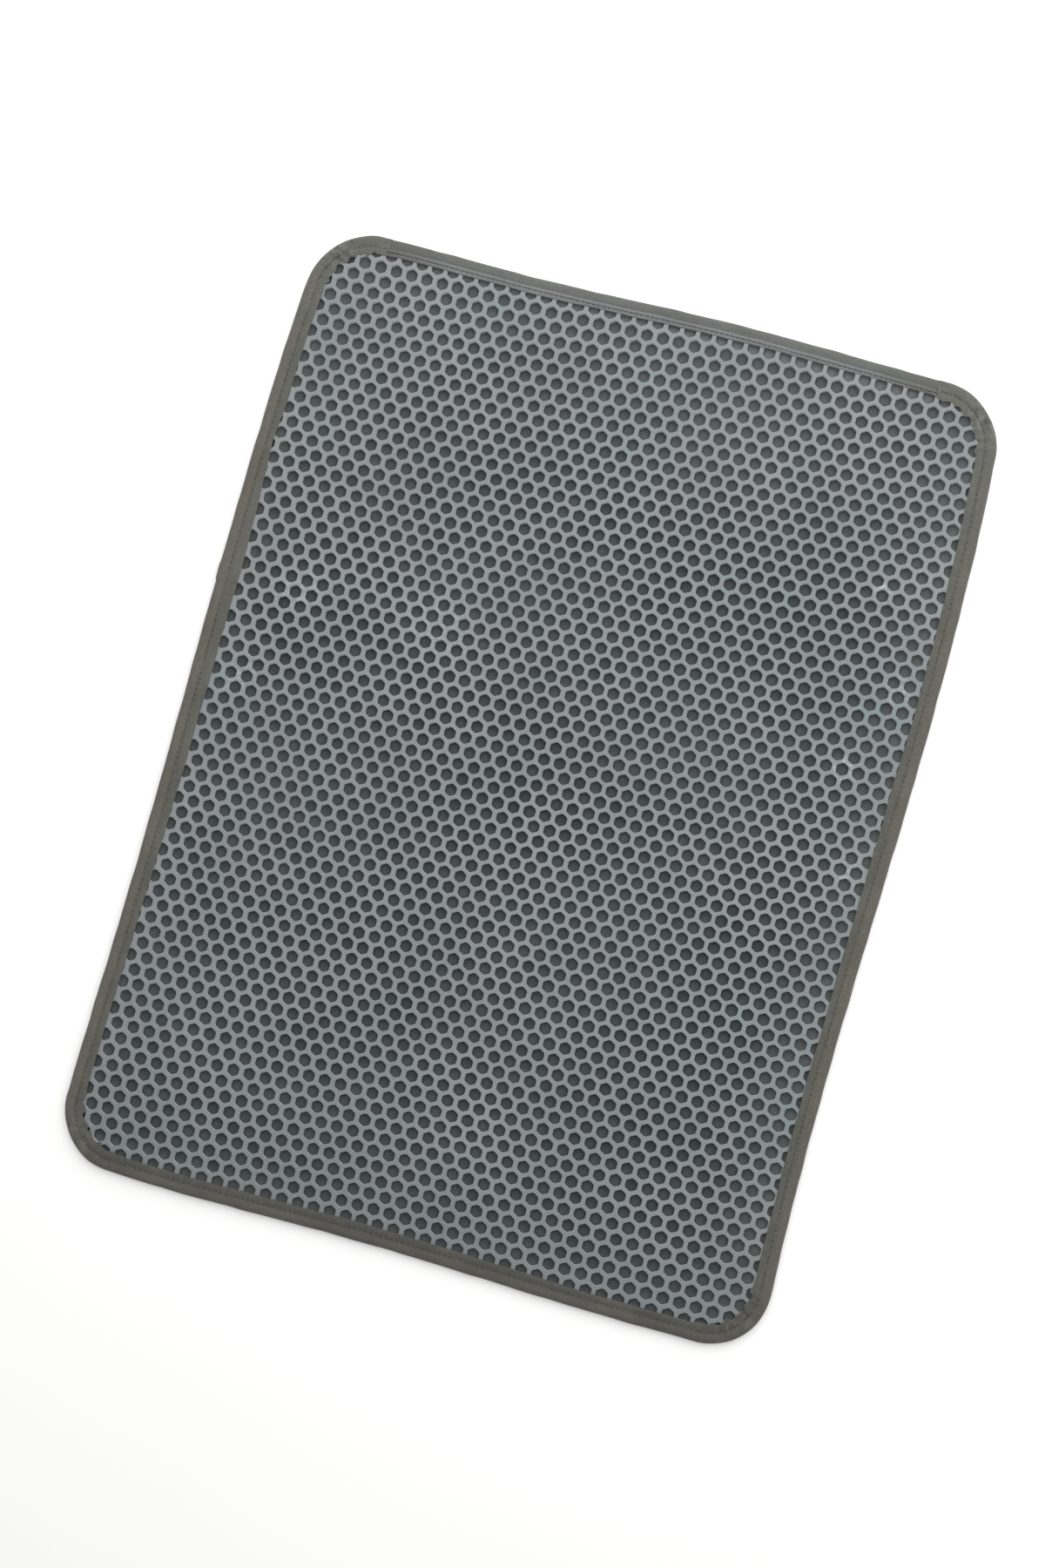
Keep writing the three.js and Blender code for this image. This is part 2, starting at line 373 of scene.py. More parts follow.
def stretch(x, y):
    """Where the photo shows the cells: they grow towards the corners, and its ends follow the edges' waves.

    That growth is more likely the photo's lens than the foam.
    """
    from_x, from_y = x - STRETCH_CENTRE.x, y - STRETCH_CENTRE.y
    grow = STRETCH * (from_x**2 + from_y**2)
    mouth = ease(y, 0.5 * HALF_LENGTH, 0.9 * HALF_LENGTH) * edge_wave("mouth", x)
    closed = ease(-y, 0.5 * HALF_LENGTH, 0.9 * HALF_LENGTH) * edge_wave("closed", x)
    far_x, far_y = x + grow * from_x, y + grow * from_y + mouth - closed
    for pull_x, pull_y, move_x, move_y, reach in FOAM_PULLS:
        share = np.exp(-((x - pull_x) ** 2 + (y - pull_y) ** 2) / reach**2)
        far_x, far_y = far_x + share * move_x, far_y + share * move_y
    return far_x, far_y


def cell_centres():
    """The middles of the cells, row by row from the closed end, before the foam is stretched."""
    rows = np.arange(-ROWS_EACH_WAY, ROWS_EACH_WAY + 1)
    columns = np.arange(-COLUMNS_EACH_WAY, COLUMNS_EACH_WAY + 1)
    j, i = np.meshgrid(rows, columns, indexing="ij")
    x = FIRST_CELL.x + PITCH * (i + 0.5 * (j % 2))
    y = FIRST_CELL.y + ROW_SPACING * j
    centres = np.stack([x.ravel(), y.ravel()], 1)
    u, v = unsettle(*stretch(centres[:, 0], centres[:, 1]))
    return centres[foam_inset(u, v) > -FARTHEST_CELL]


def hole_ring(grow):
    """Twelve points of a hexagon with rounded corners, pointing along Y."""
    scale = 1 + 2 * grow / HOLE_WIDTH
    x = np.array([0, -1, -1, 0, 1, 1]) * HOLE_WIDTH / 2 * scale
    y = np.array([2, 1, -1, -2, -1, 1]) * HOLE_HEIGHT / 4 * scale
    corners = np.stack([x, y], 1)
    before = corners + HOLE_ROUNDING * (np.roll(corners, 1, 0) - corners)
    after = corners + HOLE_ROUNDING * (np.roll(corners, -1, 0) - corners)
    return np.stack([before, after], 1).reshape(12, 2)


def honeycomb_mesh():
    """Points and faces of the whole sheet, each cell a ring of wall around a real hole."""
    rng = np.random.default_rng(SEED)
    centres = cell_centres()
    count = len(centres)
    third = ROW_SPACING / 3
    hexagon = np.array([
        (0, 2 * third), (-PITCH / 2, third), (-PITCH / 2, -third),
        (0, -2 * third), (PITCH / 2, -third), (PITCH / 2, third),
    ])
    corners = centres[:, None] + hexagon
    keys, corner_of = np.unique(np.round(corners.reshape(-1, 2) / MM, 2), axis=0, return_inverse=True)
    corner_of = corner_of.reshape(count, 6)
    corner_xy = keys * MM

    size = 1 + rng.normal(0, SIZE_SPREAD, (count, 1, 1))
    shift = rng.normal(0, PLACE_SPREAD, (count, 1, 2))
    rim = centres[:, None] + shift + hole_ring(HOLE_BEVEL) * size
    wall = centres[:, None] + shift + hole_ring(0) * size

    flat = np.concatenate([corner_xy, rim.reshape(-1, 2), wall.reshape(-1, 2)])
    u, v = tuck_in(*stretch(flat[:, 0], flat[:, 1]))
    bottom, top = sheet_levels(u, v)
    x, y = settle(u, v)

    corner_count, ring_count = len(corner_xy), count * 12
    on_corner = slice(0, corner_count)
    on_rim = slice(corner_count, corner_count + ring_count)
    on_wall = slice(corner_count + ring_count, None)

    def layer(part, z):
        return np.stack([x[part], y[part], z[part]], 1)

    points = np.concatenate([
        layer(on_corner, top + WALL_CROWN),
        layer(on_rim, top),
        layer(on_wall, top - HOLE_BEVEL),
        layer(on_wall, bottom),
        layer(on_corner, bottom),
    ])
    rim_at = corner_count
    wall_at = rim_at + ring_count
    foot_at = wall_at + ring_count
    under_at = foot_at + ring_count

    ring = np.arange(ring_count).reshape(count, 12)
    following = np.roll(ring, -1, 1)
    before, after = ring[:, 0::2], ring[:, 1::2]
    next_before = np.roll(before, -1, 1)
    next_corner = np.roll(corner_of, -1, 1)

    def stack(*columns):
        return np.stack(columns, -1).reshape(-1, len(columns))

    faces = [
        stack(corner_of, before + rim_at, after + rim_at)[:, ::-1],
        stack(corner_of, after + rim_at, next_before + rim_at, next_corner)[:, ::-1],
        stack(ring + rim_at, following + rim_at, following + wall_at, ring + wall_at)[:, ::-1],
        stack(ring + wall_at, following + wall_at, following + foot_at, ring + foot_at)[:, ::-1],
        stack(corner_of + under_at, before + foot_at, after + foot_at),
        stack(corner_of + under_at, after + foot_at, next_before + foot_at, next_corner + under_at),
    ]
    sides = stack(corner_of, next_corner)
    _, first, uses = np.unique(np.sort(sides, 1), axis=0, return_index=True, return_counts=True)
    start, end = sides[first[uses == 1]].T
    faces.append(stack(start, end, end + under_at, start + under_at)[:, ::-1])
    return points, [face for group in faces for face in group.tolist()]


# The lifted end of the sheet rises from nothing along the sides and the bend line to full height at the
# middle of the lip. The sheet is cut at the bend line, and ahead of it along the two lines where the rise
# from the side meets the rise from the bend line, into a middle piece and two side pieces.
SIDE_START = MOUTH_HALF + 6 * MM
SIDE_END = 56 * MM


def side_of(mesh_data, keep_normal, through):
    """A copy of the mesh cut by an upright plane, keeping the side that the normal points to, closed."""
    copy = bmesh.new()
    copy.from_mesh(mesh_data)
    everything = copy.verts[:] + copy.edges[:] + copy.faces[:]
    cut = bmesh.ops.bisect_plane(
        copy, geom=everything, plane_co=through, plane_no=keep_normal, clear_inner=True, dist=1e-7
    )["geom_cut"]
    rim = [e for e in cut if isinstance(e, bmesh.types.BMEdge) and e.is_boundary]
    bmesh.ops.holes_fill(copy, edges=rim, sides=0)
    result = bpy.data.meshes.new("cut")
    for material in mesh_data.materials:
        result.materials.append(material)
    copy.to_mesh(result)
    copy.free()
    return result


def piece_of(name, mesh_data, *planes):
    """An object made from what each plane leaves of the mesh."""
    for normal, through in planes:
        mesh_data = side_of(mesh_data, normal, through)
    mesh_data.set_sharp_from_angle(angle=math.radians(50))
    obj = bpy.data.objects.new(name, mesh_data)
    bpy.context.scene.collection.objects.link(obj)
    return obj


def add_honeycomb(material):
    points, faces = honeycomb_mesh()
    whole = make_object("honeycomb_whole", points, faces, material)
    data = whole.data
    right_line = Vector((SIDE_END - SIDE_START, LIP_LINE - BEND_LINE, 0))
    right_out = Vector((right_line.y, -right_line.x, 0))
    left_out = Vector((-right_out.x, right_out.y, 0))
    right_foot = Vector((SIDE_START, BEND_LINE, 0))
    left_foot = Vector((-SIDE_START, BEND_LINE, 0))
    forward, across = Vector((0, 1, 0)), Vector((1, 0, 0))
    behind = (-forward, Vector((0, BEND_LINE, 0)))
    ahead = (forward, Vector((0, BEND_LINE, 0)))
    right_half, left_half = (across, Vector()), (-across, Vector())

    main = piece_of("honeycomb_field", data, behind)
    between = ((-right_out, right_foot), (-left_out, left_foot))
    middle = piece_of("honeycomb_mouth_middle", data, ahead, *between)
    right = piece_of("honeycomb_mouth_right", data, ahead, (right_out, right_foot), right_half)
    left = piece_of("honeycomb_mouth_left", data, ahead, (left_out, left_foot), left_half)
    bpy.data.objects.remove(whole)

    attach(main, MAT)
    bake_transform(middle)
    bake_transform(right)
    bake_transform(left)
    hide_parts("honeycomb_sheet")
    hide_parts("honeycomb_mouth_flap")


# ---------------------------------------------------------------- the plain sheet

BASE_STEPS = np.array([1.0, 2.2, 4.0, 5.6, 6.8, 8.0, 10.8, 12.2, 20.0]) * MM
BASE_UNDERSIDES = np.array([1.75, 1.1, 0.8, 0.85, 1.3, 0.85, 0.75, 0.0, 0.0]) * MM


def add_base_sheet(material):
    """Rings of the outline, one for each step of the underside, closed by a flat middle."""
    round_steps, straight_steps = 24, 40
    per_corner = round_steps + 1
    corner = np.linspace(0, np.pi / 2, per_corner)
    angles = np.concatenate([corner + k * np.pi / 2 for k in range(4)])
    sign_x = np.repeat([1, -1, -1, 1], per_corner)
    sign_y = np.repeat([1, 1, -1, -1], per_corner)
    straight = np.linspace(round_steps, per_corner, straight_steps + 1)[:-1]
    quarter = np.append(np.arange(round_steps), straight)
    stops = np.concatenate([quarter + per_corner * k for k in range(4)])

    def ring(inset):
        radius = CORNER_RADIUS - inset
        x = sign_x * (HALF_WIDTH - CORNER_RADIUS) + radius * np.cos(angles)
        y = sign_y * (HALF_LENGTH - CORNER_RADIUS) + radius * np.sin(angles)
        corner_points = np.arange(len(x) + 1)
        ends = np.append(x, x[0]), np.append(y, y[0])
        return settle(*(np.interp(stops, corner_points, line) for line in ends))

    layers = []
    for inset, z in zip(BASE_STEPS[::-1], BASE_UNDERSIDES[::-1]):
        x, y = ring(inset)
        layers.append(np.stack([x, y, np.full(len(x), z)], 1))
    for inset in BASE_STEPS:
        x, y = ring(inset)
        layers.append(np.stack([x, y, np.full(len(x), BASE_TOP)], 1))
    around = len(layers[0])
    faces = tube_faces(len(layers), around).tolist()
    faces.append(list(range(around))[::-1])
    faces.append(list(range((len(layers) - 1) * around, len(layers) * around)))
    sheet = make_object("base_foam_sheet", np.concatenate(layers), faces, material, smooth_angle=35)
    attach(sheet, MAT)
    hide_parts("base_sheet")


# ---------------------------------------------------------------- binding tapes

STATION = 0.9 * MM
PROFILE_POINTS = 22
EDGE_TAPE_LAP = 1.5 * MM  # how far the edge tape's ends reach over the lips' ends
LIP_TAPE_LAP = 3 * MM  # how far the lips' tapes reach in under the edge tape
FLOOR_GAP = 0.02 * MM
INSIDE_GAP = 0.05 * MM
LIP_COVER = 3.14 * MM  # the height of the edge tape's ends, just over the lower lip
STITCH = 3.4 * MM
PINCH_ALONG, PINCH_ACROSS = 0.75 * MM, 0.9 * MM  # how far a needle hole draws the tape down around it


def smooth_line(points, count):
    """Points spaced evenly along a smooth curve through the given ones."""
    p = np.array(points, float)
    p = np.concatenate([[2 * p[0] - p[1]], p, [2 * p[-1] - p[-2]]])
    t = np.linspace(0, 1, 12, endpoint=False)[:, None]
    spans = []
    for a, b, c, d in zip(p[:-3], p[1:-2], p[2:-1], p[3:]):
        bend, twist = 2 * a - 5 * b + 4 * c - d, 3 * b - a - 3 * c + d
        spans.append(0.5 * (2 * b + (c - a) * t + bend * t**2 + twist * t**3))
    fine = np.concatenate(spans + [p[-2:-1]])
    length = np.concatenate([[0], np.cumsum(np.hypot(*np.diff(fine, axis=0).T))])
    even = np.linspace(0, length[-1], count)
    return np.stack([np.interp(even, length, fine[:, 0]), np.interp(even, length, fine[:, 1])], 1)


def edge_route():
    """Distance, place and inward direction along the edge tape, from one end of the mouth to the other."""
    side_x, side_y = HALF_WIDTH - CORNER_RADIUS, HALF_LENGTH - CORNER_RADIUS
    quarter = CORNER_RADIUS * np.pi / 2
    start = MOUTH_HALF - EDGE_TAPE_LAP
    top = side_x - start
    spans = [top, quarter, 2 * side_y, quarter, 2 * side_x, quarter, 2 * side_y, quarter, top]
    ends = np.cumsum(spans)
    s = np.linspace(0, ends[-1], int(ends[-1] / STATION) + 1)
    x, y, nx, ny = (np.zeros_like(s) for _ in range(4))
    headings = [0, 0, -90, -90, -180, -180, -270, -270, -360]
    corner_centres = {
        1: (side_x, side_y), 3: (side_x, -side_y), 5: (-side_x, -side_y), 7: (-side_x, side_y),
    }
    line_starts = {
        0: (start, HALF_LENGTH), 2: (HALF_WIDTH, side_y), 4: (side_x, -HALF_LENGTH),
        6: (-HALF_WIDTH, -side_y), 8: (-side_x, HALF_LENGTH),
    }
    for k, span in enumerate(spans):
        begin = ends[k] - span
        here = (s >= begin) & (s <= ends[k])
        run = s[here] - begin
        heading = math.radians(headings[k])
        if k in corner_centres:
            angle = heading - run / CORNER_RADIUS
            nx[here], ny[here] = np.sin(angle), -np.cos(angle)
            x[here] = corner_centres[k][0] - CORNER_RADIUS * nx[here]
            y[here] = corner_centres[k][1] - CORNER_RADIUS * ny[here]
        else:
            nx[here], ny[here] = math.sin(heading), -math.cos(heading)
            x[here] = line_starts[k][0] + run * math.cos(heading)
            y[here] = line_starts[k][1] + run * math.sin(heading)
    in_corner = sum(
        ease(s, ends[k] - spans[k] - 12 * MM, ends[k] - spans[k] + 4 * MM)
        * (1 - ease(s, ends[k] - 4 * MM, ends[k] + 12 * MM))
        for k in corner_centres
    )
    return s, x, y, nx, ny, in_corner


def lip_route(front, past_mouth):
    """The same along a lip, from its left end to its right end."""
    reach = MOUTH_HALF + past_mouth
    s = np.linspace(0, 2 * reach, int(2 * reach / STATION) + 1)
    x = s - reach
    y = np.full_like(s, front)
    return s, x, y, np.zeros_like(s), -np.ones_like(s), np.zeros_like(s)


def near_needle_hole(s):
    """1 at each needle hole of a seam, falling to 0 between them."""
    away = np.abs((s / STITCH + 0.5) % 1 - 0.5) * STITCH
    return np.exp(-((away / PINCH_ALONG) ** 2))


# How much more of the edge tape shows than its set width: places along each edge and widths, in mm
EXTRA_WIDTH = {
    "left": (
        (-300, -190, -110, -45, 30, 75, 95, 130, 158, 180, 290),
        (0.5, 0.2, 0.8, 2.0, 2.6, 3.1, 2.9, 1.4, 0.0, 0.9, 0.9),
    ),
    "right": ((-300, -100, -30, 60, 110, 170, 215, 290), (0.2, 0.1, 0.4, 0.9, 0.2, 0.2, 0.9, 0.5)),
    "closed": ((-220, -150, 0, 150, 220), (0.2, 0.2, 0.4, 0.0, 0.0)),
}
# Where the tape's two ends meet, on the left side: one end is folded under and lies over the other
LAP_START, LAP_END = 66 * MM, 80 * MM


def extra_width(x, y, nx, ny):
    """How much more of the edge tape shows, at places with these inward directions."""
    shares = {"left": np.maximum(nx, 0), "right": np.maximum(-nx, 0), "closed": np.maximum(ny, 0)}
    total = 0
    for edge, share in shares.items():
        places, widths = EXTRA_WIDTH[edge]
        along = x if edge == "closed" else y
        total = total + share**2 * np.interp(along, np.array(places) * MM, np.array(widths) * MM)
    return total


def lap(y, nx):
    """1 on the left side where the tape is doubled, with a sharp start and a soft end."""
    on_left = nx > 0.9
    return on_left * ease(y, LAP_START, LAP_START + 1.2 * MM) * (1 - ease(y, LAP_END - 5 * MM, LAP_END))


def outside_line(profile):
    """A tape's outside line from its lower free edge to its upper one: points, and lengths along it."""
    line = smooth_line(np.array(profile) * MM, PROFILE_POINTS)
    steps = np.hypot(*np.diff(line, axis=0).T)
    return line, np.concatenate([[0], np.cumsum(steps)])


def folded_tape(name, route, profile, seam, seed, material, edge=False, lean=0.0, squash=0.0):
    """A folded tape. Its profile is its outside line: distance in from the fold and height, in mm.

    With edge it is the tape that goes round the corners. It is wider by lean at its right end, and narrower
    by as much at its left end. The share squash is how much thinner it is at its ends.
    """
    s, x, y, nx, ny, in_corner = route
    from_end = np.minimum(s, s[-1] - s)
    line, over = outside_line(profile)
    d = np.tile(line[:, 0], (len(s), 1))
    z = np.tile(line[:, 1], (len(s), 1))
    middle = (line[:, 1].min() + line[:, 1].max()) / 2
    on_top = line[:, 1] > middle
    past_seam = ease(line[:, 0], seam, line[:, 0].max())
    doubled = 0.4 * MM * lap(y, nx)

    # the free edges wander, more so round the corners, where the tape has to gather
    wide = 0.35 * MM * wander(s, 60 * MM, seed) + lean * (x / HALF_WIDTH)
    if edge:
        gathers = in_corner * MM * (1.0 + 1.7 * wander(s, 12 * MM, seed + 1))
        wide = wide + gathers + extra_width(x, y, nx, ny)
    d = d + past_seam * wide[:, None]
    # the fold itself is soft
    fold_wander = 0.22 * MM * wander(s, 35 * MM, seed + 2) - doubled
    d = d + fold_wander[:, None] * (1 - ease(line[:, 0], 0, seam))
    # pleats run across the tape at the corners
    pleat = np.abs(wander(s, 21 * MM, seed + 3)) ** 0.7 - 0.45 + 0.35 * wander(s, 7.5 * MM, seed + 4)
    across = ease(line[:, 0], 0.15 * seam, line[:, 0].max())
    z = z + on_top * across * (in_corner * MM * pleat)[:, None]
    z = z + on_top * (0.1 * MM * wander(s, 50 * MM, seed + 5) + doubled)[:, None]
    if edge:
        # at the mouth its ends come down to the lower lip
        at_end = 1 - ease(from_end, 1 * MM, 10 * MM)
        lowered = at_end[:, None] * (1 - ease(line[:, 0], 4.6 * MM, 6.4 * MM)) * on_top
        z = z - lowered * np.maximum(z - LIP_COVER, 0)
    else:
        # the upper lip's ends are squashed until they fit in under the edge tape
        at_end = 1 - ease(from_end, 3 * MM, 14 * MM)
        z = z - squash * at_end[:, None] * (z - z.min())
    # the thread pulls the tape down at each needle hole, some harder than others
    tension = 0.3 + 0.22 * wander(s, 13 * MM, seed + 6)
    at_seam = np.exp(-(((d - seam) / PINCH_ACROSS) ** 2))
    pinch = MM * (tension * near_needle_hole(s))[:, None] * at_seam
    z = z + np.where(on_top, -pinch, pinch)
    z = np.maximum(z, FLOOR_GAP)

    tangent_d, tangent_z = np.gradient(d, axis=1), np.gradient(z, axis=1)
    length = np.hypot(tangent_d, tangent_z)
    inner_d = d + tangent_z / length * TAPE_THICKNESS
    inner_z = z - tangent_d / length * TAPE_THICKNESS
    # the two inside faces are kept apart
    low, high = np.minimum(inner_z, middle - INSIDE_GAP), np.maximum(inner_z, middle + INSIDE_GAP)
    inner_z = np.where(on_top, high, low)

    ring_d = np.concatenate([d, inner_d[:, ::-1]], 1)
    ring_z = np.concatenate([z, inner_z[:, ::-1]], 1)
    flat_x, flat_y = settle(x[:, None] + nx[:, None] * ring_d, y[:, None] + ny[:, None] * ring_d)
    points = np.stack([flat_x, flat_y, ring_z], -1).reshape(-1, 3)
    around = ring_d.shape[1]
    faces = tube_faces(len(s), around)[:, ::-1].tolist()
    half = around // 2
    last = (len(s) - 1) * around
    for k in range(half - 1):
        cap = [k, k + 1, around - 2 - k, around - 1 - k]
        faces.append(cap)
        faces.append([last + c for c in cap[::-1]])
    uv = np.stack(np.broadcast_arrays(s[:, None], np.concatenate([over, over[::-1]])[None]), -1)
    obj = make_object(name, points, faces, material, smooth_angle=60, uv=uv.reshape(-1, 2))
    return obj, over[-1]


# Each tape's outside line, from its lower free edge round the fold to its upper one, with a dip at the seam
EDGE_PROFILE = [
    (11.0, 0.12), (10.3, 0.02), (8.4, 0.03), (7.5, 0.16), (6.8, 0.42), (6.1, 0.16), (5.0, 0.03),
    (3.4, 0.03), (1.9, 0.22), (0.75, 0.95), (0.12, 2.1), (0.0, 3.0), (0.2, 4.1), (0.85, 5.05),
    (1.9, 5.6), (3.2, 5.75), (4.7, 5.62), (5.8, 5.4), (6.8, 5.12), (7.7, 5.42), (8.8, 5.72),
    (9.9, 5.85), (10.7, 5.8), (11.0, 5.62),
]
LOWER_LIP_PROFILE = [
    (10.0, 0.12), (9.2, 0.02), (8.2, 0.14), (7.4, 0.36), (6.6, 0.14), (5.0, 0.03), (2.6, 0.03),
    (1.1, 0.2), (0.25, 0.75), (0.0, 1.5), (0.25, 2.25), (1.1, 2.85), (2.6, 3.0),
    (5.0, 2.98), (6.6, 2.85), (7.4, 2.62), (8.2, 2.85), (9.2, 2.98), (10.0, 2.88),
]
UPPER_LIP_PROFILE = [
    (4.3, 3.42), (3.6, 3.3), (2.9, 3.4), (2.2, 3.55), (1.5, 3.4), (0.7, 3.5), (0.15, 4.1), (0.0, 4.85),
    (0.2, 5.55), (0.75, 5.98), (1.5, 6.08), (2.2, 5.92), (2.9, 6.1), (3.5, 6.16), (3.95, 6.05), (4.3, 5.75),
]


def add_edge_tape(material):
    route = edge_route()
    tape, width = folded_tape("edge_tape", route, EDGE_PROFILE, EDGE_SEAM, 20, material, edge=True)
    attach(tape, MAT)
    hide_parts("edge_binding")


def add_lower_lip_tape(material):
    route = lip_route(HALF_LENGTH, LIP_TAPE_LAP)
    tape, width = folded_tape("lower_lip_tape", route, LOWER_LIP_PROFILE, LOWER_LIP_SEAM, 40, material)
    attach(tape, MAT)
    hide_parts("lower_lip_binding")


def add_upper_lip_tape(material):
    route = lip_route(HALF_LENGTH - LIP_SETBACK, LIP_TAPE_LAP)
    name, profile, seam = "upper_lip_whole", UPPER_LIP_PROFILE, UPPER_LIP_SEAM
    whole, width = folded_tape(name, route, profile, seam, 60, material, lean=-0.5 * MM, squash=0.42)
    for side, name in ((-1, "upper_lip_tape_left"), (1, "upper_lip_tape_right")):
        half = piece_of(name, whole.data, (Vector((side, 0, 0)), Vector()))
        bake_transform(half)
        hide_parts("upper_lip_binding")
    bpy.data.objects.remove(whole)


# ---------------------------------------------------------------- stitches

THREAD_RADIUS = 0.2 * MM
THREAD_SIDES = 6
DIVE = 0.75 * MM  # how deep a thread goes at a needle hole
SEEN_STEP, HIDDEN_STEP = 0.34 * MM, 0.68 * MM


def stitched_strand(name, route, seam, level, upwards, step, material):
    """One thread of a lockstitch: it lies on the tape between needle holes and dives into each hole."""
    s, x, y, nx, ny, _ = route
    fine = np.arange(0, s[-1], step)
    x, y, nx, ny = (np.interp(fine, s, values) for values in (x, y, nx, ny))
    dive = np.abs(np.cos(np.pi * fine / STITCH)) ** 10
    z = level + upwards * (THREAD_RADIUS * 1.1 - DIVE * dive)
    sway = 0.06 * MM * wander(fine, 11 * MM, 9)
    centre_x, centre_y = settle(x + nx * (seam + sway), y + ny * (seam + sway))
    centre = np.stack([centre_x, centre_y, z], 1)
    side = np.stack([nx, ny, np.zeros_like(nx)], 1)
    along = np.gradient(centre, axis=0)
    along /= np.linalg.norm(along, axis=1)[:, None]
    out = np.cross(along, side)
    angles = np.arange(THREAD_SIDES) * 2 * np.pi / THREAD_SIDES
    ring = (
        centre[:, None]
        + THREAD_RADIUS * np.cos(angles)[None, :, None] * side[:, None]
        + THREAD_RADIUS * np.sin(angles)[None, :, None] * out[:, None]
    )
    faces = tube_faces(len(fine), THREAD_SIDES)[:, ::-1].tolist()
    last = (len(fine) - 1) * THREAD_SIDES
    faces.append(list(range(THREAD_SIDES)))
    faces.append([last + k for k in range(THREAD_SIDES)][::-1])
    uv = np.stack(np.broadcast_arrays(fine[:, None], (THREAD_RADIUS * angles)[None]), -1)
    obj = make_object(name, ring.reshape(-1, 3), faces, material, smooth_angle=80, uv=uv.reshape(-1, 2))
    return obj


def add_stitches(material):
    edge = edge_route()
    lower = lip_route(HALF_LENGTH, 0)
    upper = lip_route(HALF_LENGTH - LIP_SETBACK, 0)
    fixed = (
        ("edge_needle", edge, EDGE_SEAM, 4.9 * MM, 1, SEEN_STEP),
        ("edge_bobbin", edge, EDGE_SEAM, 0.45 * MM, -1, HIDDEN_STEP),
        ("lower_lip_needle", lower, LOWER_LIP_SEAM, 2.6 * MM, 1, HIDDEN_STEP),
        ("lower_lip_bobbin", lower, LOWER_LIP_SEAM, 0.45 * MM, -1, HIDDEN_STEP),
    )
    for name, route, seam, level, upwards, step in fixed:
        strand = stitched_strand(f"{name}_stitches", route, seam, level, upwards, step, material)
        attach(strand, MAT)
        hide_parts(f"{name}_thread")
    lifted = (
        ("upper_lip_needle", 5.92 * MM, 1, SEEN_STEP),
        ("upper_lip_bobbin", 3.58 * MM, -1, HIDDEN_STEP),
    )
    for name, level, upwards, step in lifted:
        whole = stitched_strand(f"{name}_stitches", upper, UPPER_LIP_SEAM, level, upwards, step, material)
        for side, end in ((-1, "left"), (1, "right")):
            half = piece_of(f"{name}_stitches_{end}", whole.data, (Vector((side, 0, 0)), Vector()))
            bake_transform(half)
            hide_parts(f"{name}_thread")
        bpy.data.objects.remove(whole)


# ---------------------------------------------------------------- materials


def srgb(*channels):
    """A linear colour from 0 to 255 display values."""
    return tuple(((c / 255 + 0.055) / 1.055) ** 2.4 for c in channels)


class Finish:
    """A Principled material that is put together node by node."""

    def __init__(self, name, roughness):
        self.material = bpy.data.materials.new(name)
        self.material.use_nodes = True
        self.tree = self.material.node_tree
        self.surface = self.tree.nodes["Principled BSDF"]
        self.surface.inputs["Roughness"].default_value = roughness
        self.surface.inputs["Specular IOR Level"].default_value = 0.35

    def node(self, kind, inputs, **settings):
        made = self.tree.nodes.new(kind)
        for key, value in settings.items():
            setattr(made, key, value)
        for key, value in inputs.items():
            if isinstance(value, bpy.types.NodeSocket):
                self.tree.links.new(value, made.inputs[key])
            else:
                made.inputs[key].default_value = value
        return made

    def place(self):
        return self.node("ShaderNodeTexCoord", {}).outputs["Object"]

    def noise(self, vector, size, detail=3, roughness=0.5, seed=0.0):
        offset = (seed, seed * 1.7, seed * 0.6)
        moved = self.node("ShaderNodeVectorMath", {0: vector, 1: offset}, operation="ADD")
        made = self.node(
            "ShaderNodeTexNoise",
            {"Vector": moved.outputs[0], "Scale": 1 / size, "Detail": detail, "Roughness": roughness},
        )
        return made.outputs["Fac"]

    def ramp(self, value, low, high, to_low=0.0, to_high=1.0):
        made = self.node(
            "ShaderNodeMapRange",
            {"Value": value, "From Min": low, "From Max": high, "To Min": to_low, "To Max": to_high},
            interpolation_type="SMOOTHSTEP",
        )
        return made.outputs["Result"]

    def math(self, operation, a, b=0.0):
        return self.node("ShaderNodeMath", {0: a, 1: b}, operation=operation).outputs[0]

    def mix(self, share, a, b):
        """A colour that goes from a to b as share goes from 0 to 1."""
        factor_at, a_at, b_at, result_at = 0, 6, 7, 2  # the Mix node's sockets for colours
        a, b = (c if isinstance(c, bpy.types.NodeSocket) else (*c, 1) for c in (a, b))
        made = self.node("ShaderNodeMix", {factor_at: share, a_at: a, b_at: b}, data_type="RGBA")
        return made.outputs[result_at]

    def axis(self, vector, name):
        return self.node("ShaderNodeSeparateXYZ", {"Vector": vector}).outputs[name]

    def product(self, first, *others):
        for other in others:
            first = self.math("MULTIPLY", first, other)
        return first

    def colour(self, socket):
        self.tree.links.new(socket, self.surface.inputs["Base Color"])

    def roughness(self, socket):
        self.tree.links.new(socket, self.surface.inputs["Roughness"])

    def bump(self, *heights):
        """Each height is (socket, distance in metres), from coarse to fine."""
        normal = None
        for height, distance in heights:
            inputs = {"Height": height, "Distance": distance, "Strength": 1.0}
            if normal is not None:
                inputs["Normal"] = normal
            normal = self.node("ShaderNodeBump", inputs).outputs["Normal"]
        self.tree.links.new(normal, self.surface.inputs["Normal"])


# Pale rubbed places on the foam's face: x, y, radius and strength
SCUFFS = (
    (176 * MM, 167 * MM, 9 * MM, 0.9),
    (-170 * MM, 75 * MM, 22 * MM, 0.45),
    (182 * MM, 55 * MM, 12 * MM, 0.7),
    (200 * MM, 110 * MM, 14 * MM, 0.5),
    (-192 * MM, 12 * MM, 18 * MM, 0.45),
    (201 * MM, -4 * MM, 13 * MM, 0.45),
    (-80 * MM, 74 * MM, 34 * MM, 0.25),
)


